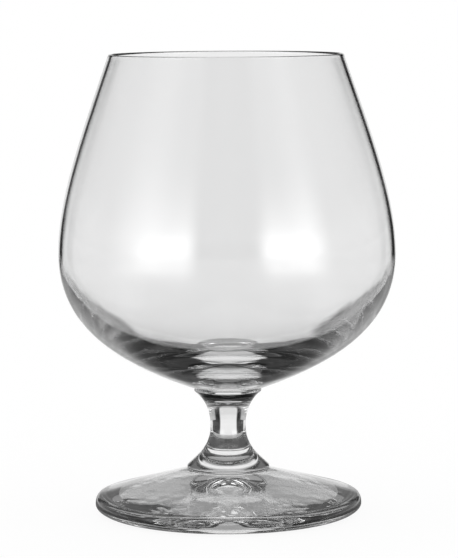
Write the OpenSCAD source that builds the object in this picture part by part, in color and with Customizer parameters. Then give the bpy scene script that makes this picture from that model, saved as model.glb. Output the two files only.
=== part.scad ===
// Brandy snifter: a blown bowl, a short drawn stem and a pressed foot, fused hot at two welds.
// Millimetres, Z up. The origin is the centre of the plane that the foot rests on.

/* [Bowl] */
// Height of the bowl, from the weld under it to the top of the lip
bowl_h = 93; // [82:0.5:104]
// Outer diameter at the mouth
mouth_d = 65.2; // [58:0.2:72]
// Lean of the side at the mouth, in degrees from upright
mouth_lean = 18.9; // [12:0.1:24]
// Outer diameter at the widest level
belly_d = 93.6; // [86:0.2:102]
// Height of the widest level above the weld under the bowl
belly_h = 38; // [32:0.5:44]
// Rise of the underside where it leaves the weld, in degrees from level
underside_rise = 19.5; // [14:0.5:26]

/* [Thickness of the blown glass] */
// Wall at the lip
lip_wall = 1.1; // [0.8:0.05:1.6]
// Wall at the widest level
belly_wall = 0.9; // [0.7:0.05:1.4]
// Glass between the cavity and the weld, on the axis
floor_t = 6.8; // [4:0.2:10]

/* [Stem] */
// Length of the stem, from weld to weld
stem_h = 22.4; // [18:0.2:32]
// Diameter of the collar under the bowl
collar_d = 18.8; // [15:0.2:22]
// Height of the collar's round edge
collar_edge_h = 0.9; // [0.5:0.1:1.4]
// Slope of the stem where it tucks in under the collar, in degrees from level
tuck = 39; // [30:1:50]
// Diameter of the waist
waist_d = 9.8; // [8:0.2:12]
// Height of the waist above the lower weld
waist_h = 12.1; // [9:0.1:14]
// Diameter of the ridge at the stem's lower end
ridge_d = 23; // [20:0.2:27]
// Height of the ridge's round edge
ridge_edge_h = 1; // [0.5:0.1:1.6]
// Slope of the stem where it runs out to the ridge, in degrees from level
flare = 43; // [34:1:52]

/* [Foot] */
// Height of the foot, from the table to the weld on its hub
foot_h = 12.6; // [10:0.2:16]
// Outer diameter of the foot
foot_d = 74.4; // [66:0.2:84]
// Diameter of the hub that the stem is welded to
hub_d = 23.2; // [20:0.2:28]
// Radius of the round edge of the hub
hub_round = 0.4; // [0.2:0.1:0.8]
// Height at which the sloping top starts to round over
shoulder_h = 5.4; // [4:0.1:7]
// Width of the rounding, from the shoulder out to the edge
shoulder_w = 1.3; // [0.8:0.1:3]
// Height of the widest level of the edge
edge_h = 2.75; // [1.6:0.05:3.6]
// Outer diameter of the flat ring that the glass stands on
rest_d = 63; // [54:0.5:66]
// Width of that ring
rest_w = 2.4; // [1.6:0.2:6]
// Depth of the hollow inside the ring, at its middle
hollow_depth = 5.4; // [2:0.1:6.4]

/* [Hidden] */
// Straight steps in each curve of a profile
steps = 24;
$fn = 96;

// Heights of the two welds above the table
lower_weld_z = foot_h;
upper_weld_z = foot_h + stem_h;

// Radii that pieces share
collar_r = collar_d / 2;
ridge_r = ridge_d / 2;
upper_weld_r = collar_r - collar_edge_h / 2;

// How far a curve holds the direction of its start and of its end, as shares of the height or reach it covers
side_shares = [0.372, 0.296];
underside_shares = [0.498, 0.677];
cavity_shares = [0.65, 0.5];
tuck_share = 1.11;
waist_shares = [0.23, 0.525];
flare_share = 0.62;
shoulder_shares = [0.6, 0.55];
edge_shares = [0.55, 0.5];
hollow_shares = [0.25, 0.2];

// Unit vector at an angle from the outward direction
function along(angle) = [cos(angle), sin(angle)];

// Cubic curve from a to d that leaves a towards b and comes to d from c
function curve(a, b, c, d) = [
    for (i = [0 : steps])
        let (t = i / steps, u = 1 - t)
            pow(u, 3) * a + 3 * pow(u, 2) * t * b + 3 * u * pow(t, 2) * c + pow(t, 3) * d
];

// Arc about a centre, from one angle to another
function arc(centre, radius, from, to) = [
    for (i = [0 : steps])
        centre + radius * along(from + (to - from) * i / steps)
];

// Centre of the round lip, and the widest points of the wall's two faces
lip_c = [mouth_d / 2 - lip_wall / 2, bowl_h - lip_wall / 2];
belly = [belly_d / 2, belly_h];
belly_in = [belly_d / 2 - belly_wall, belly_h];

// One face of the side, from the lip down to the widest level; face is 1 outside and -1 inside
function side(face, widest) =
    let (start = lip_c + face * lip_wall / 2 * along(mouth_lean))
    let (drop = start[1] - widest[1])
        curve(
            start,
            start + side_shares[0] * drop * along(mouth_lean - 90),
            widest + [0, side_shares[1] * drop],
            widest
        );

// Outer face under the widest level, down to the weld
function underside() =
    curve(
        belly,
        belly - [0, underside_shares[0] * belly_h],
        [upper_weld_r, 0] + underside_shares[1] * (belly[0] - upper_weld_r) * along(underside_rise),
        [upper_weld_r, 0]
    );

// Inner face under the widest level, in to the middle of the floor
function cavity() =
    curve(
        belly_in,
        belly_in - [0, cavity_shares[0] * (belly_h - floor_t)],
        [cavity_shares[1] * belly_in[0], floor_t],
        [0, floor_t]
    );

function reverse(points) = [for (i = [len(points) - 1 : -1 : 0]) points[i]];

// The blown bowl: side, round lip and cavity, closed below by the flat weld face
module bowl() {
    color([0.87, 0.89, 0.9, 0.4])
        translate([0, 0, upper_weld_z])
            rotate_extrude()
                polygon(concat(
                    [[0, 0]],
                    reverse(underside()),
                    reverse(side(1, belly)),
                    arc(lip_c, lip_wall / 2, mouth_lean, mouth_lean + 180),
                    side(-1, belly_in),
                    cavity()
                ));
}

// Round edges of the collar and of the ridge, with the waist between them
function collar_edge() =
    arc([upper_weld_r, stem_h - collar_edge_h / 2], collar_edge_h / 2, 90, tuck - 90);

function ridge_edge() =
    arc([ridge_r - ridge_edge_h / 2, ridge_edge_h / 2], ridge_edge_h / 2, 90 - flare, -90);

function stem_side() =
    let (top = collar_edge()[steps], low = ridge_edge()[0], waist = [waist_d / 2, waist_h])
        concat(
            curve(
                top,
                top + tuck_share * (top[0] - waist[0]) * along(180 + tuck),
                waist + [0, waist_shares[0] * (top[1] - waist[1])],
                waist
            ),
            curve(
                waist,
                waist - [0, waist_shares[1] * (waist[1] - low[1])],
                low + flare_share * (low[0] - waist[0]) * along(180 - flare),
                low
            )
        );

// The drawn stem, a solid waist between the collar and the ridge, flat at both welds
module stem() {
    color([0.8, 0.82, 0.84, 0.5])
        translate([0, 0, lower_weld_z])
            rotate_extrude()
                polygon(concat(
                    [[0, stem_h]],
                    collar_edge(),
                    stem_side(),
                    ridge_edge(),
                    [[0, 0]]
                ));
}

// Points that the foot's outline turns at
hub_side = [hub_d / 2, foot_h - hub_round];
shoulder = [foot_d / 2 - shoulder_w, shoulder_h];
edge = [foot_d / 2, edge_h];
rest_out = [rest_d / 2, 0];
rest_in = [rest_d / 2 - rest_w, 0];
top_slope = (hub_side[1] - shoulder[1]) / (shoulder[0] - hub_side[0]);

// Rounding from the sloping top over to the widest level
function shoulder_round() =
    curve(
        shoulder,
        shoulder + shoulder_shares[0] * shoulder_w * [1, -top_slope],
        edge + [0, shoulder_shares[1] * (shoulder_h - edge_h)],
        edge
    );

// Rounding from the widest level down to the ring that the glass stands on
function edge_round() =
    curve(
        edge,
        edge - [0, edge_shares[0] * edge_h],
        rest_out + [edge_shares[1] * (edge[0] - rest_out[0]), 0],
        rest_out
    );

// Hollow inside the ring: a low cone with a round top
function hollow() =
    curve(
        rest_in,
        rest_in + hollow_shares[0] * [-rest_in[0], hollow_depth],
        [hollow_shares[1] * rest_in[0], hollow_depth],
        [0, hollow_depth]
    );

// The pressed foot: hub, sloping top, round edge, resting ring and hollow
module foot() {
    color([0.78, 0.8, 0.82, 0.5])
        rotate_extrude()
            polygon(concat(
                [[0, foot_h]],
                arc(hub_side - [hub_round, 0], hub_round, 90, 0),
                shoulder_round(),
                edge_round(),
                hollow()
            ));
}

bowl();
stem();
foot();
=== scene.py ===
# Brandy snifter in clear glass: a blown bowl, a drawn stem and a pressed foot, each one closed lathe
# surface, fused together at two welds.
import math

import bpy
import numpy as np
from mathutils import Matrix, Vector


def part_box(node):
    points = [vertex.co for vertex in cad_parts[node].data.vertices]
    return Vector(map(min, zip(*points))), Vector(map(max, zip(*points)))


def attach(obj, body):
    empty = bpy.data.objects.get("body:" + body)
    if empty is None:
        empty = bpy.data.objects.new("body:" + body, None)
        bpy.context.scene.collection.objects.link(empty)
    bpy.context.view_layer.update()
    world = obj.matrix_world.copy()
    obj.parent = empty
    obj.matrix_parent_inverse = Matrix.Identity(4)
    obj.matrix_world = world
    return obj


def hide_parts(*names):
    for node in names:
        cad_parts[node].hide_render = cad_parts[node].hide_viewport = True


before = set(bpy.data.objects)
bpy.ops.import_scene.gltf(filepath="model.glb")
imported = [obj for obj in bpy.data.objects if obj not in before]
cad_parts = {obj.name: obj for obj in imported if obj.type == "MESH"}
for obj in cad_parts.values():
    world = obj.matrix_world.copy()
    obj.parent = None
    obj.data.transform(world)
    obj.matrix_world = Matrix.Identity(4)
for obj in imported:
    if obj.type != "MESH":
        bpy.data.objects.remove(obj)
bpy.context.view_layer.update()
mm = 0.001


# Profiles: rows of (radius, height) in millimetres

def point(radius, height):
    # one row (radius, height)
    return np.array([radius, height], float)


def unit(angle):
    # (cos, sin) of an angle in degrees, counted up from the outward direction
    return np.array([math.cos(math.radians(angle)), math.sin(math.radians(angle))])


def straight(a, b, steps):
    # even points from a to b: a + t (b - a)
    return a + np.linspace(0, 1, steps + 1)[:, None] * (b - a)


def curve(a, b, c, d, steps):
    # cubic curve that leaves a towards b and reaches d from c: u^3 a + 3 u^2 t b + 3 u t^2 c + t^3 d, where
    # u = 1 - t
    t = np.linspace(0, 1, steps + 1)[:, None]
    u = 1 - t
    return u**3 * a + 3 * u**2 * t * b + 3 * u * t**2 * c + t**3 * d


def arc(centre, radius, start, end, steps):
    # stretch of a circle: centre + radius (cos, sin) of angles that run evenly from start to end, in degrees
    angle = np.radians(np.linspace(start, end, steps + 1))[:, None]
    return centre + radius * np.hstack([np.cos(angle), np.sin(angle)])


def turned(stretches):
    # the same profile run the other way, for one drawn from its top, so that its faces look outwards too
    return [(name, points[::-1]) for name, points in stretches[::-1]]


def chain(stretches):
    # joins named stretches end to start, and says which stretch each step between two rows belongs to
    rows, names = [stretches[0][1][:1]], []
    for name, points in stretches:
        rows.append(points[1:])
        names += [name] * (len(points) - 1)
    return np.vstack(rows), np.array(names)


# Ripples: what the molten glass froze into, cut into the surface as real shape
ripples = {
    "seed": 11,
    "waves": 26,
    "lengths": (2.5, 12),    # mm from crest to crest
    "fade": 1.5,             # mm over which ripples grow from nothing at the ends of a stretch
}


def swell(points, r):
    # 0 to 1 at each point: half of 1 + tanh(h), where h is the sum of sin(2 pi (direction . point) / length
    # + phase) over all waves, divided by the root of half their number
    rng = np.random.default_rng(r["seed"])
    direction = rng.normal(size=(r["waves"], 3))
    direction /= np.linalg.norm(direction, axis=1, keepdims=True)
    number = 2 * np.pi / rng.uniform(*r["lengths"], r["waves"])
    phase = rng.uniform(0, 2 * np.pi, r["waves"])
    waves = np.sin(points @ (direction * number[:, None]).T + phase)
    height = waves.sum(axis=1) / math.sqrt(r["waves"] / 2)
    return 0.5 + 0.5 * np.tanh(height)


def rippleDepth(stretches, depths, fade):
    # depth of the ripples at each row: the stretch's own depth times n^2 (3 - 2 n), where n runs from 0 at
    # the stretch's nearer end to 1 at the distance fade from it
    rows = [np.zeros(1)]
    for name, points in stretches:
        way = np.append(0, np.cumsum(np.linalg.norm(np.diff(points, axis=0), axis=1)))
        near = np.clip(np.minimum(way, way[-1] - way) / fade, 0, 1)
        rows.append((depths.get(name, 0) * near**2 * (3 - 2 * near))[1:])
    return np.concatenate(rows)


# Lathe: a profile carried round the axis

def latheFaces(rings, turns):
    # corners of the faces: four between neighbours on two rings, and three round the pole at either end
    index = np.arange(rings * turns).reshape(rings, turns)
    beside = np.roll(index, -1, axis=1)
    quads = np.stack([index[:-1], beside[:-1], beside[1:], index[1:]], axis=-1).reshape(-1, 4)
    firstPole, lastPole = index.size, index.size + 1
    opening = np.stack([np.full(turns, firstPole), beside[0], index[0]], axis=-1)
    closing = np.stack([np.full(turns, lastPole), index[-1], beside[-1]], axis=-1)
    return opening.tolist() + quads.tolist() + closing.tolist()


def markCreases(mesh, names, turns, creases):
    # an edge is sharp where both its ends lie on the ring between two stretches that meet at an angle
    edges = np.empty(len(mesh.edges) * 2, np.int32)
    mesh.edges.foreach_get("vertices", edges)
    edges = edges.reshape(-1, 2)
    rings = len(names) - 1
    ringOf = np.where(edges < rings * turns, edges // turns, -1)
    creaseRings = [i for i in range(rings) if (names[i], names[i + 1]) in creases]
    sharp = np.isin(ringOf, creaseRings).all(axis=1)
    mesh.attributes.new("sharp_edge", "BOOLEAN", "EDGE").data.foreach_set("value", sharp)


def lathe(name, stretches, p):
    # point (row, turn) = (r cos a, r sin a, z), with a = 2 pi turn / turns; the first and last rows are
    # poles on the axis; ripples move a point into the glass, against the profile's normal (dz, -dr)
    turns = p["turns"]
    rows, names = chain(stretches)
    along = np.gradient(rows, axis=0)
    along /= np.linalg.norm(along, axis=1, keepdims=True)
    ring, slope = rows[1:-1], along[1:-1]
    depth = rippleDepth(stretches, p["ripples"], ripples["fade"])[1:-1]
    angle = 2 * np.pi * np.arange(turns) / turns

    def carried(profile):
        # (r cos a, r sin a, z) for each row and turn
        radius, height = profile[:, :1], np.repeat(profile[:, 1:], turns, axis=1)
        return np.stack([radius * np.cos(angle), radius * np.sin(angle), height], -1).reshape(-1, 3)

    body = carried(ring)
    normal = carried(np.column_stack([slope[:, 1], -slope[:, 0]]))
    body -= normal * (np.repeat(depth, turns) * swell(body, ripples))[:, None]
    poles = np.array([[0, 0, rows[0, 1]], [0, 0, rows[-1, 1]]])

    mesh = bpy.data.meshes.new(name)
    mesh.from_pydata(np.vstack([body, poles]) * mm, [], latheFaces(len(ring), turns))
    mesh.update(calc_edges=True)
    faceNames = np.repeat(names, turns)
    mesh.polygons.foreach_set("material_index", np.isin(faceNames, p["welds"]).astype(np.int32))
    mesh.polygons.foreach_set("use_smooth", np.ones(len(faceNames), bool))
    markCreases(mesh, names, turns, p["creases"])

    piece = bpy.data.objects.new(name, mesh)
    bpy.context.scene.collection.objects.link(piece)
    print(f"{name}: {len(rows)} rows of {turns} points")
    return piece


def span(node):
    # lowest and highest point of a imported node, and its reach from the axis, in mm
    low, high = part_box(node)
    return low.z / mm, high.z / mm, high.x / mm


bowlBase, bowlTop, bellyRadius = span("bowl")
stemBase, stemTop, ridgeRadius = span("stem")
footBase, footTop, footRadius = span("foot")


# Lengths are mm and angles degrees. A pair of shares says how far the two handles of a curve reach, as
# shares of the curve's own rise or run. The rows are steps along each stretch, and the ripples are depths.
bowl = {
    "mouthRadius": 32.6,
    "mouthLean": 18.9,
    "bellyHeight": 38,       # above the weld
    "undersideRise": 19.5,
    "lipWall": 1.1,
    "bellyWall": 0.9,
    "floorThickness": 6.8,
    "weldRadius": 8.95,
    "sideShares": (0.372, 0.296),
    "undersideShares": (0.498, 0.677),
    "cavityShares": (0.65, 0.5),
    "rows": {"weld": 6, "underside": 56, "side": 70, "lip": 16, "cavity": 56},
    "turns": 360,
    "ripples": {"underside": 0.006, "sideOut": 0.0012, "sideIn": 0.0015, "cavity": 0.008},
    "welds": ["weld"],
    "creases": [("weld", "underside")],
}


def bowlStretches(b):
    # weld face, underside, side, round lip, inner side and cavity: straight lines, cubic curves and arcs
    up = point(0, bowlBase)
    belly = up + point(bellyRadius, b["bellyHeight"])
    bellyInside = belly - point(b["bellyWall"], 0)
    weld = up + point(b["weldRadius"], 0)
    floor = up + point(0, b["floorThickness"])
    lipRadius = b["lipWall"] / 2
    lipCentre = point(b["mouthRadius"] - lipRadius, bowlTop - lipRadius)
    rows = b["rows"]
    sideTop, sideBelly = b["sideShares"]
    underBelly, underWeld = b["undersideShares"]
    cavityWall, cavityFloor = b["cavityShares"]

    def side(face, widest):
        # cubic curve down the outer face (1) or the inner face (-1), from the lip to the widest point
        start = lipCentre + face * lipRadius * unit(b["mouthLean"])
        drop = start[1] - widest[1]
        lean = unit(b["mouthLean"] - 90)
        reach = start + sideTop * drop * lean
        return curve(start, reach, widest + point(0, sideBelly * drop), widest, rows["side"])

    underside = curve(
        belly,
        belly - point(0, underBelly * b["bellyHeight"]),
        weld + underWeld * (bellyRadius - b["weldRadius"]) * unit(b["undersideRise"]),
        weld,
        rows["underside"],
    )
    cavity = curve(
        bellyInside,
        bellyInside - point(0, cavityWall * (b["bellyHeight"] - b["floorThickness"])),
        floor + point(cavityFloor * bellyInside[0], 0),
        floor,
        rows["cavity"],
    )
    return [
        ("weld", straight(up, weld, rows["weld"])),
        ("underside", underside[::-1]),
        ("sideOut", side(1, belly)[::-1]),
        ("lip", arc(lipCentre, lipRadius, b["mouthLean"], b["mouthLean"] + 180, rows["lip"])),
        ("sideIn", side(-1, bellyInside)),
        ("cavity", cavity),
    ]


bowlPiece = lathe("bowl_glass", bowlStretches(bowl), bowl)

stem = {
    "collarEdge": 0.9,
    "tuck": 39,
    "waistRadius": 4.9,
    "waistHeight": 12.1,     # above the lower weld
    "ridgeEdge": 1.0,
    "flare": 43,
    "tuckShares": (1.11, 0.23),
    "flareShares": (0.525, 0.62),
    "rows": {"weld": 6, "collar": 14, "tuck": 60, "flare": 60, "ridge": 14},
    "turns": 240,
    "ripples": {"tuck": 0.012, "flare": 0.012},
    "welds": ["upperWeld", "lowerWeld"],
    "creases": [],
}


def stemStretches(s):
    # upper weld face, round collar edge, tuck to the waist, flare, round ridge edge and lower weld face:
    # straight lines, cubic curves and arcs
    collarRadius, ridgeRound = s["collarEdge"] / 2, s["ridgeEdge"] / 2
    collarCentre = point(bowl["weldRadius"], stemTop - collarRadius)
    ridgeCentre = point(ridgeRadius - ridgeRound, stemBase + ridgeRound)
    rows = s["rows"]
    collar = arc(collarCentre, collarRadius, 90, s["tuck"] - 90, rows["collar"])
    ridge = arc(ridgeCentre, ridgeRound, 90 - s["flare"], -90, rows["ridge"])
    top, low = collar[-1], ridge[0]
    waist = point(s["waistRadius"], stemBase + s["waistHeight"])
    tuckTop, tuckWaist = s["tuckShares"]
    flareWaist, flareLow = s["flareShares"]
    tuck = curve(
        top,
        top + tuckTop * (top[0] - waist[0]) * unit(180 + s["tuck"]),
        waist + point(0, tuckWaist * (top[1] - waist[1])),
        waist,
        rows["tuck"],
    )
    flare = curve(
        waist,
        waist - point(0, flareWaist * (waist[1] - low[1])),
        low + flareLow * (low[0] - waist[0]) * unit(180 - s["flare"]),
        low,
        rows["flare"],
    )
    return [
        ("upperWeld", straight(point(0, stemTop), collar[0], rows["weld"])),
        ("collar", collar),
        ("tuck", tuck),
        ("flare", flare),
        ("ridge", ridge),
        ("lowerWeld", straight(ridge[-1], point(0, stemBase), rows["weld"])),
    ]


stemPiece = lathe("stem_glass", turned(stemStretches(stem)), stem)

foot = {
    "hubRadius": 11.6,
    "hubRound": 0.4,
    "shoulderHeight": 5.4,
    "shoulderWidth": 1.3,
    "edgeHeight": 2.75,
    "restRadius": 31.5,
    "restWidth": 2.4,
    "hollowDepth": 5.4,
    "shoulderShares": (0.6, 0.55),
    "edgeShares": (0.55, 0.5),
    "hollowShares": (0.25, 0.2),
    "rows": {
        "weld": 6, "hubTop": 2, "hub": 8, "top": 80,
        "shoulder": 24, "edge": 24, "rest": 6, "hollow": 60,
    },
    "turns": 360,
    "ripples": {"top": 0.012, "hollow": 0.01},
    "welds": ["weld"],
    "creases": [("top", "hub"), ("hollow", "rest")],
}


def footStretches(f):
    # weld face, rim of the hub, sloping top, round edge, resting ring and a hollow like a low cone:
    # straight lines, cubic curves and an arc
    weldRadius = ridgeRadius - stem["ridgeEdge"] / 2
    hubSide = point(f["hubRadius"], footTop - f["hubRound"])
    hubTop = hubSide - point(f["hubRound"], 0)
    shoulder = point(footRadius - f["shoulderWidth"], f["shoulderHeight"])
    edge = point(footRadius, f["edgeHeight"])
    restOut = point(f["restRadius"], footBase)
    restIn = point(f["restRadius"] - f["restWidth"], footBase)
    slope = (hubSide[1] - shoulder[1]) / (shoulder[0] - hubSide[0])
    rows = f["rows"]
    shoulderOut, shoulderDown = f["shoulderShares"]
    edgeDown, edgeIn = f["edgeShares"]
    lead, flat = f["hollowShares"]
    rounding = curve(
        shoulder,
        shoulder + shoulderOut * f["shoulderWidth"] * point(1, -slope),
        edge + point(0, shoulderDown * (f["shoulderHeight"] - f["edgeHeight"])),
        edge,
        rows["shoulder"],
    )
    under = curve(
        edge,
        edge - point(0, edgeDown * f["edgeHeight"]),
        restOut + point(edgeIn * (footRadius - f["restRadius"]), 0),
        restOut,
        rows["edge"],
    )
    hollow = curve(
        restIn,
        restIn + lead * point(-restIn[0], f["hollowDepth"]),
        point(flat * restIn[0], f["hollowDepth"]),
        point(0, f["hollowDepth"]),
        rows["hollow"],
    )
    return [
        ("weld", straight(point(0, footTop), point(weldRadius, footTop), rows["weld"])),
        ("hubTop", straight(point(weldRadius, footTop), point(hubTop[0], footTop), rows["hubTop"])),
        ("hub", arc(hubTop, f["hubRound"], 90, 0, rows["hub"])),
        ("top", straight(hubSide, shoulder, rows["top"])),
        ("shoulder", rounding),
        ("edge", under),
        ("rest", straight(restOut, restIn, rows["rest"])),
        ("hollow", hollow),
    ]


footPiece = lathe("foot_glass", turned(footStretches(foot)), foot)


# Glass. Cords are what is left of its stirring, and its skin is what the air or the mould left on it.
flow = {"cordDetail": 3, "cordBend": 0.8, "skinDetail": 1}    # octaves and distortion of the two noises

# Thick and thin are tints, cords and skin are noises per metre, haze is roughness, bump is the height of the
# skin in mm, and drawn scales the place, so that the noises run longer down the piece.
glassKinds = {
    "blownGlass": {
        "thick": (0.941, 0.942, 0.944), "thin": (0.949, 0.949, 0.949),
        "cords": 70, "skin": 210,
        "haze": 0.003, "bump": 0.0016,
        "drawn": (1, 1, 0.8), "refraction": 1.52,
    },
    "drawnGlass": {
        "thick": (0.939, 0.94, 0.942), "thin": (0.949, 0.949, 0.949),
        "cords": 160, "skin": 320,
        "haze": 0.003, "bump": 0.0012,
        "drawn": (1, 1, 0.25), "refraction": 1.52,
    },
    "pressedGlass": {
        "thick": (0.938, 0.939, 0.941), "thin": (0.95, 0.95, 0.95),
        "cords": 90, "skin": 240,
        "haze": 0.004, "bump": 0.0024,
        "drawn": (1, 1, 1), "refraction": 1.52,
    },
}


def flowMarks(f):
    # tint: slow noise mixes thick and thin; haze: the same noise times its amount; height: fine noise
    group = bpy.data.node_groups.new("flowMarks", "ShaderNodeTree")
    for way, kind, names in (
        ("INPUT", "NodeSocketVector", ["Place"]),
        ("INPUT", "NodeSocketFloat", ["Cords", "Skin", "Haze"]),
        ("INPUT", "NodeSocketColor", ["Thick", "Thin"]),
        ("OUTPUT", "NodeSocketColor", ["Tint"]),
        ("OUTPUT", "NodeSocketFloat", ["Haze", "Height"]),
    ):
        for name in names:
            group.interface.new_socket(name, in_out=way, socket_type=kind)

    nodes, links = group.nodes, group.links
    given = nodes.new("NodeGroupInput").outputs
    result = nodes.new("NodeGroupOutput").inputs
    cords, skin = nodes.new("ShaderNodeTexNoise"), nodes.new("ShaderNodeTexNoise")
    cords.inputs["Detail"].default_value = f["cordDetail"]
    cords.inputs["Distortion"].default_value = f["cordBend"]
    skin.inputs["Detail"].default_value = f["skinDetail"]
    for noise, scale in ((cords, "Cords"), (skin, "Skin")):
        links.new(given["Place"], noise.inputs["Vector"])
        links.new(given[scale], noise.inputs["Scale"])
    # a colour mix has its share at input 0, its colours at inputs 6 and 7, and what it gives at output 2
    tint = nodes.new("ShaderNodeMix")
    tint.data_type = "RGBA"
    links.new(cords.outputs["Fac"], tint.inputs[0])
    links.new(given["Thick"], tint.inputs[6])
    links.new(given["Thin"], tint.inputs[7])
    haze = nodes.new("ShaderNodeMath")
    haze.operation = "MULTIPLY"
    links.new(cords.outputs["Fac"], haze.inputs[0])
    links.new(given["Haze"], haze.inputs[1])
    links.new(tint.outputs[2], result["Tint"])
    links.new(haze.outputs[0], result["Haze"])
    links.new(skin.outputs["Fac"], result["Height"])
    return group


def clearGlass(name, marks, g):
    # glass that lets light through, with the flow marks of its own place in its tint, roughness and bump
    material = bpy.data.materials.new(name)
    material.use_nodes = True
    nodes, links = material.node_tree.nodes, material.node_tree.links
    place = nodes.new("ShaderNodeMapping")
    place.inputs["Scale"].default_value = g["drawn"]
    links.new(nodes.new("ShaderNodeTexCoord").outputs["Object"], place.inputs["Vector"])
    made = nodes.new("ShaderNodeGroup")
    made.node_tree = marks
    links.new(place.outputs["Vector"], made.inputs["Place"])
    for socket, key in (("Cords", "cords"), ("Skin", "skin"), ("Haze", "haze")):
        made.inputs[socket].default_value = g[key]
    made.inputs["Thick"].default_value = (*g["thick"], 1)
    made.inputs["Thin"].default_value = (*g["thin"], 1)
    bump = nodes.new("ShaderNodeBump")
    bump.inputs["Strength"].default_value = 1
    bump.inputs["Distance"].default_value = g["bump"] * mm
    links.new(made.outputs["Height"], bump.inputs["Height"])

    shader = nodes["Principled BSDF"]
    shader.inputs["IOR"].default_value = g["refraction"]
    shader.inputs["Transmission Weight"].default_value = 1
    links.new(made.outputs["Tint"], shader.inputs["Base Color"])
    links.new(made.outputs["Haze"], shader.inputs["Roughness"])
    links.new(bump.outputs["Normal"], shader.inputs["Normal"])
    return material


def weldSkin():
    # fused glass has no face between its gathers, so light runs straight through
    material = bpy.data.materials.new("fusedWeld")
    material.use_nodes = True
    tree = material.node_tree
    tree.nodes.clear()
    clear = tree.nodes.new("ShaderNodeBsdfTransparent")
    output = tree.nodes.new("ShaderNodeOutputMaterial")
    tree.links.new(clear.outputs["BSDF"], output.inputs["Surface"])
    return material


fusedWeld = weldSkin()
marks = flowMarks(flow)
for piece, node, slotName, kind in (
    (bowlPiece, "bowl", "blown_glass", "blownGlass"),
    (stemPiece, "stem", "drawn_glass", "drawnGlass"),
    (footPiece, "foot", "pressed_glass", "pressedGlass"),
):
    piece.data.materials.append(clearGlass(kind, marks, glassKinds[kind]))
    piece.data.materials.append(fusedWeld)
    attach(piece, "root")
    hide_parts(node)
print("glass pieces are dressed")


# Camera: a long lens a little above the rim's middle, looking slightly down
cameraFit = {
    "pictureWidth": 458,     # pixels
    "focalPixels": 2778,
    "sensor": 36,            # mm
    "distance": 772.3,       # mm from the point looked at
    "lookHeight": 65.55,
    "lookAside": 0.5,
    "pitch": 6.14,           # degrees
    "roll": 0.33,
    "clip": (0.05, 50),      # m
}


def placeCamera(c):
    # looks along (0, cos pitch, -sin pitch) at a point on the axis, rolled about that line
    pitch, roll = math.radians(c["pitch"]), math.radians(c["roll"])
    forward = Vector((0, math.cos(pitch), -math.sin(pitch)))
    level = Vector((1, 0, 0))
    upward = level.cross(forward)
    right = level * math.cos(roll) - upward * math.sin(roll)
    up = level * math.sin(roll) + upward * math.cos(roll)
    place = (Vector((0, 0, c["lookHeight"])) - forward * c["distance"] + right * c["lookAside"]) * mm
    data = bpy.data.cameras.new("camera")
    data.sensor_fit = "HORIZONTAL"
    data.sensor_width = c["sensor"]
    data.lens = c["focalPixels"] * c["sensor"] / c["pictureWidth"]
    data.clip_start, data.clip_end = c["clip"]
    camera = bpy.data.objects.new("camera", data)
    bpy.context.scene.collection.objects.link(camera)
    camera.matrix_world = Matrix.Translation(place) @ Matrix((right, up, -forward)).transposed().to_4x4()
    bpy.context.scene.camera = camera


placeCamera(cameraFit)
print("camera is placed")


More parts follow.
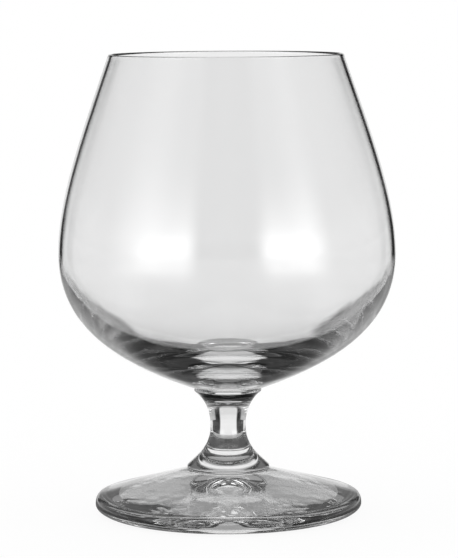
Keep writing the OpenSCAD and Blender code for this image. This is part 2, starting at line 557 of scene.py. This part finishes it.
# Studio. The camera and matt surfaces see plain white. What the glass shows depends on how often a surface
# turned the light back, and a row of four holds the levels for never, once, twice and more often. Light that
# only passed through finds white paper all round, with a black card on either side of the part straight
# behind. Light turned back once or twice finds a grey room, a bright floor and two soft lights in front.
# Light turned back more often finds the room dark and the lights strong, hanging high only.
# Azimuths are degrees from straight behind, right positive, elevations degrees, distances on the floor mm.
studio = {
    # where the paper straight behind and the black cards end, and where the sides turn into the front
    "paperLeft": 20, "paperRight": 18, "paperSoft": 2,
    "cardEnd": (51, 33, 31, 68), "cardSoft": 4,
    "frontEdge": (109, 136),

    # each low down, high up and overhead; a bend holds the elevations between which low turns into high
    "paperLow": (0.94, 0.9, 0.85, 0.35), "paperHigh": (0.94, 0.8, 0.36, 0.95), "paperBend": (5, 11),
    "cardLeft": 0.01, "cardRight": 0.01, "cardHigh": 0.04, "cardBend": (5, 20),
    "room": (0.94, 0.5, 0.62, 0.1), "roomHigh": (0.94, 0.42, 0.32, 0.03), "roomBend": (3, 15),
    "front": (0.94, 0.22, 0.18, 0.06),
    "paperTop": (0.94, 0.5, 0.48, 0.8), "frontTop": (0.94, 0.19, 0.12, 0.05),
    "top": (0.94, 0.2, 0.06, 0.03), "topFade": (36, 65),

    # a light is full between its two middle azimuths, and adds low to its level under its bend
    "leftLight": {"azimuths": (-88, -128, -150, -163.5), "level": 0.4, "low": 2.2, "bend": (4, 33)},
    "rightLight": {"azimuths": (103, 125, 148, 161), "level": 0.4, "low": 2.8, "bend": (2, 29)},
    "lightShare": (0, 1, 0.85, 5), "lightTop": (45, 70),
    "lightStart": (-99, -99, -99, 22), "lightRise": 8,    # elevation where they begin, -99 for no limit
    # floorShare, lightOnFloor and lightFade set the painted reflection of the two lights on the paper
    "floorShare": (0, 1, 0.85, 0.3), "lightOnFloor": 1.75, "lightFade": (60, 600),

    # the floor near the foot and far from it
    "nearLeft": (0.02, 0.7, 0.1, 0.12), "nearRight": (0.02, 0.6, 0.05, 0.12),
    "nearRoom": (0.94, 0.9, 0.65, 0.25), "nearFront": (0.94, 0.48, 0.4, 0.15),
    "nearBack": (0.94, 0.96, 0.96, 0.6),
    "farRoom": (0.94, 0.75, 0.5, 0.07), "farFront": (0.94, 0.5, 0.45, 0.2),
    "farEdge": (300, 800),

    # its painted shade under the hollow, round the resting ring and round the edge of the foot
    "shadeUnderFoot": (0.43, 0.1, 0.2, 0.05), "underEdge": (15, 30),
    "ring": (0.45, 0.1, 0.03, 0.04), "ringEdge": (31, 40),
    "edge": (0.29, 0.2, 0.12, 0.04), "edgeBack": (0.47, 0.4, 0.15, 0.4), "edgeFade": (45, 85),
    "edgeShade": (0, 1, 1, 1),

    "ownWhite": 0.92,    # how much of the floor's white is its own; the rest takes the shadow
    "reach": 40,         # m from the middle of the floor to its sides
    "drop": 0.02,        # mm that the floor lies under the resting ring
}


class Net:
    # shorthand for the arithmetic nodes of one node tree
    def __init__(self, tree):
        self.tree = tree

    def node(self, kind, **settings):
        # a new node with its settings
        made = self.tree.nodes.new(kind)
        for key, value in settings.items():
            setattr(made, key, value)
        return made

    def feed(self, socket, value):
        # links another node's socket, or sets a plain value
        if isinstance(value, bpy.types.NodeSocket):
            self.tree.links.new(value, socket)
        else:
            socket.default_value = value

    def math(self, operation, *values):
        # the operation on its values
        made = self.node("ShaderNodeMath", operation=operation)
        for socket, value in zip(made.inputs, values):
            self.feed(socket, value)
        return made.outputs[0]

    def fade(self, value, start, end):
        # smooth step from 0 at start to 1 at end
        made = self.node("ShaderNodeMapRange", interpolation_type="SMOOTHSTEP")
        for key, number in (("Value", value), ("From Min", start), ("From Max", end)):
            self.feed(made.inputs[key], number)
        return made.outputs["Result"]

    def fall(self, value, start, end):
        # smooth step from 1 at start to 0 at end
        return self.math("SUBTRACT", 1, self.fade(value, start, end))

    def mix(self, share, a, b):
        # a (1 - share) + b share; a number mix has its share at input 0 and its numbers at inputs 2 and 3
        made = self.node("ShaderNodeMix", data_type="FLOAT")
        for place, value in ((0, share), (2, a), (3, b)):
            self.feed(made.inputs[place], value)
        return made.outputs[0]

    def azimuth(self, x, y):
        # degrees from straight behind, which is along y
        return self.math("DEGREES", self.math("ARCTAN2", x, y))


def zones(net, s, azimuth, cardEnd):
    # how far an azimuth lies straight behind, within the cards, in front and on the left, each from 0 to 1
    aside = net.math("ABSOLUTE", azimuth)

    def within(end, soft):
        # 1 up to soft before the end and 0 from soft past it
        return net.fall(aside, net.math("SUBTRACT", end, soft), net.math("ADD", end, soft))

    left = net.math("LESS_THAN", azimuth, 0)
    back = within(net.mix(left, s["paperRight"], s["paperLeft"]), s["paperSoft"])
    card = within(cardEnd, s["cardSoft"])
    front = net.fade(aside, *s["frontEdge"])
    return back, card, front, left


def lampSpan(net, lamp, azimuth):
    # smooth rise and fall between four azimuths, counted towards the lamp's side
    side = math.copysign(1, lamp["azimuths"][0])
    turn = net.math("MULTIPLY", azimuth, side)
    begins, full, stillFull, ends = (side * angle for angle in lamp["azimuths"])
    return net.math("MULTIPLY", net.fade(turn, begins, full), net.fall(turn, stillFull, ends))


def seenInGlass(net, s):
    # 1 for rays that a glass surface sent on, and a row of four as the one level for this ray, by how often
    # it was turned back: its depth less the number of faces that it passed through
    rays = net.node("ShaderNodeLightPath")
    inGlass = net.math("MAXIMUM", rays.outputs["Is Glossy Ray"], rays.outputs["Is Transmission Ray"])
    turns = net.math("SUBTRACT", rays.outputs["Ray Depth"], rays.outputs["Transmission Depth"])
    steps = [net.math("GREATER_THAN", turns, count - 0.5) for count in (1, 2, 3)]

    def level(key):
        # the row's first value, or the next one for each count that is reached
        value, *others = s[key]
        for step, other in zip(steps, others):
            value = net.mix(step, value, other)
        return value

    return inGlass, level


def studioWorld(s):
    # level by azimuth and elevation: room, front, cards and paper, each blended from low to high to
    # overhead, and the two lights added
    world = bpy.data.worlds.new("studio")
    world.use_nodes = True
    net = Net(world.node_tree)
    direction = net.node("ShaderNodeVectorMath", operation="NORMALIZE")
    net.feed(direction.inputs[0], net.node("ShaderNodeTexCoord").outputs["Generated"])
    parts = net.node("ShaderNodeSeparateXYZ")
    net.feed(parts.inputs[0], direction.outputs[0])
    azimuth = net.azimuth(parts.outputs["X"], parts.outputs["Y"])
    elevation = net.math("DEGREES", net.math("ARCSINE", parts.outputs["Z"]))
    inGlass, level = seenInGlass(net, s)
    back, card, front, left = zones(net, s, azimuth, level("cardEnd"))
    high = net.fade(elevation, *s["topFade"])

    room = net.mix(net.fade(elevation, *s["roomBend"]), level("room"), level("roomHigh"))
    room = net.mix(high, room, level("top"))
    ahead = net.mix(high, level("front"), level("frontTop"))
    black = net.mix(left, s["cardRight"], s["cardLeft"])
    black = net.mix(net.fade(elevation, *s["cardBend"]), black, s["cardHigh"])
    black = net.mix(high, black, level("top"))
    paper = net.mix(high, level("paperHigh"), level("paperTop"))
    paper = net.mix(net.fade(elevation, *s["paperBend"]), level("paperLow"), paper)
    seen = net.mix(card, net.mix(front, room, ahead), black)
    seen = net.mix(back, seen, paper)

    start = level("lightStart")
    begun = net.fade(elevation, start, net.math("ADD", start, s["lightRise"]))
    lightShare = net.math("MULTIPLY", level("lightShare"), net.fall(elevation, *s["lightTop"]))
    lightShare = net.math("MULTIPLY", lightShare, begun)
    for lamp in (s["leftLight"], s["rightLight"]):
        glow = net.mix(net.fade(elevation, *lamp["bend"]), lamp["level"] + lamp["low"], lamp["level"])
        glow = net.math("MULTIPLY", glow, lightShare)
        seen = net.math("MULTIPLY_ADD", glow, lampSpan(net, lamp, azimuth), seen)

    background = world.node_tree.nodes["Background"]
    net.feed(background.inputs["Color"], (1, 1, 1, 1))
    net.feed(background.inputs["Strength"], net.mix(inGlass, 1, seen))
    bpy.context.scene.world = world


def floorPaper(s):
    # level by azimuth and by distance from the axis: near blended into far, the painted glow of the lights,
    # then the painted shade of the foot; other rays see white, most of it the paper's own and the rest lit
    material = bpy.data.materials.new("paperFloor")
    material.use_nodes = True
    material.node_tree.nodes.clear()
    net = Net(material.node_tree)
    parts = net.node("ShaderNodeSeparateXYZ")
    net.feed(parts.inputs[0], net.node("ShaderNodeTexCoord").outputs["Object"])
    x, y = parts.outputs["X"], parts.outputs["Y"]
    azimuth = net.azimuth(x, y)
    radius = net.math("SQRT", net.math("ADD", net.math("MULTIPLY", x, x), net.math("MULTIPLY", y, y)))
    radius = net.math("DIVIDE", radius, mm)
    inGlass, level = seenInGlass(net, s)
    back, card, front, left = zones(net, s, azimuth, level("cardEnd"))

    near = net.mix(front, level("nearRoom"), level("nearFront"))
    near = net.mix(card, near, net.mix(left, level("nearRight"), level("nearLeft")))
    near = net.mix(back, near, level("nearBack"))
    far = net.mix(front, level("farRoom"), level("farFront"))
    far = net.mix(card, far, net.mix(left, s["cardRight"], s["cardLeft"]))
    far = net.mix(back, far, level("paperLow"))
    seen = net.mix(net.fade(radius, *s["farEdge"]), near, far)
    # painted reflection of the two lights on the paper, fading out towards the foot
    lamps = net.math("ADD", *(lampSpan(net, s[key], azimuth) for key in ("leftLight", "rightLight")))
    lamps = net.math("MULTIPLY", lamps, net.fade(radius, *s["lightFade"]))
    lamps = net.math("MULTIPLY", lamps, level("floorShare"))
    seen = net.math("MULTIPLY_ADD", lamps, s["lightOnFloor"], seen)

    # painted shade of the foot on the paper, round its edge, round its ring and under its hollow
    shade = net.math("MULTIPLY", net.fall(radius, *s["edgeFade"]), level("edgeShade"))
    seen = net.mix(shade, seen, net.mix(back, level("edge"), level("edgeBack")))
    seen = net.mix(net.fade(radius, *s["ringEdge"]), level("ring"), seen)
    seen = net.mix(net.fade(radius, *s["underEdge"]), level("shadeUnderFoot"), seen)

    glow = net.node("ShaderNodeEmission")
    net.feed(glow.inputs["Strength"], net.mix(inGlass, s["ownWhite"], seen))
    paper = net.node("ShaderNodeBsdfDiffuse")
    lit = net.math("MULTIPLY", net.math("SUBTRACT", 1, inGlass), 1 - s["ownWhite"])
    grey = net.node("ShaderNodeCombineColor")
    for channel in ("Red", "Green", "Blue"):
        net.feed(grey.inputs[channel], lit)
    net.feed(paper.inputs["Color"], grey.outputs[0])
    both = net.node("ShaderNodeAddShader")
    net.feed(both.inputs[0], glow.outputs[0])
    net.feed(both.inputs[1], paper.outputs[0])
    net.feed(net.node("ShaderNodeOutputMaterial").inputs["Surface"], both.outputs[0])
    return material


def studioFloor(s):
    # one square just under the resting ring, from -reach to reach both ways
    reach, low = s["reach"], -s["drop"] * mm
    mesh = bpy.data.meshes.new("floor")
    corners = [(-reach, -reach, low), (reach, -reach, low), (reach, reach, low), (-reach, reach, low)]
    mesh.from_pydata(corners, [], [(0, 1, 2, 3)])
    mesh.materials.append(floorPaper(s))
    floor = bpy.data.objects.new("floor", mesh)
    bpy.context.scene.collection.objects.link(floor)


studioWorld(studio)
studioFloor(studio)
print("studio is lit")

# light runs through many walls of glass before it leaves
bounces = {
    "max_bounces": 32,
    "glossy_bounces": 24,
    "transmission_bounces": 32,
    "transparent_max_bounces": 32,
}
scene = bpy.context.scene
scene.view_settings.view_transform = "Standard"
for kind, most in bounces.items():
    setattr(scene.cycles, kind, most)

print("ready to render")
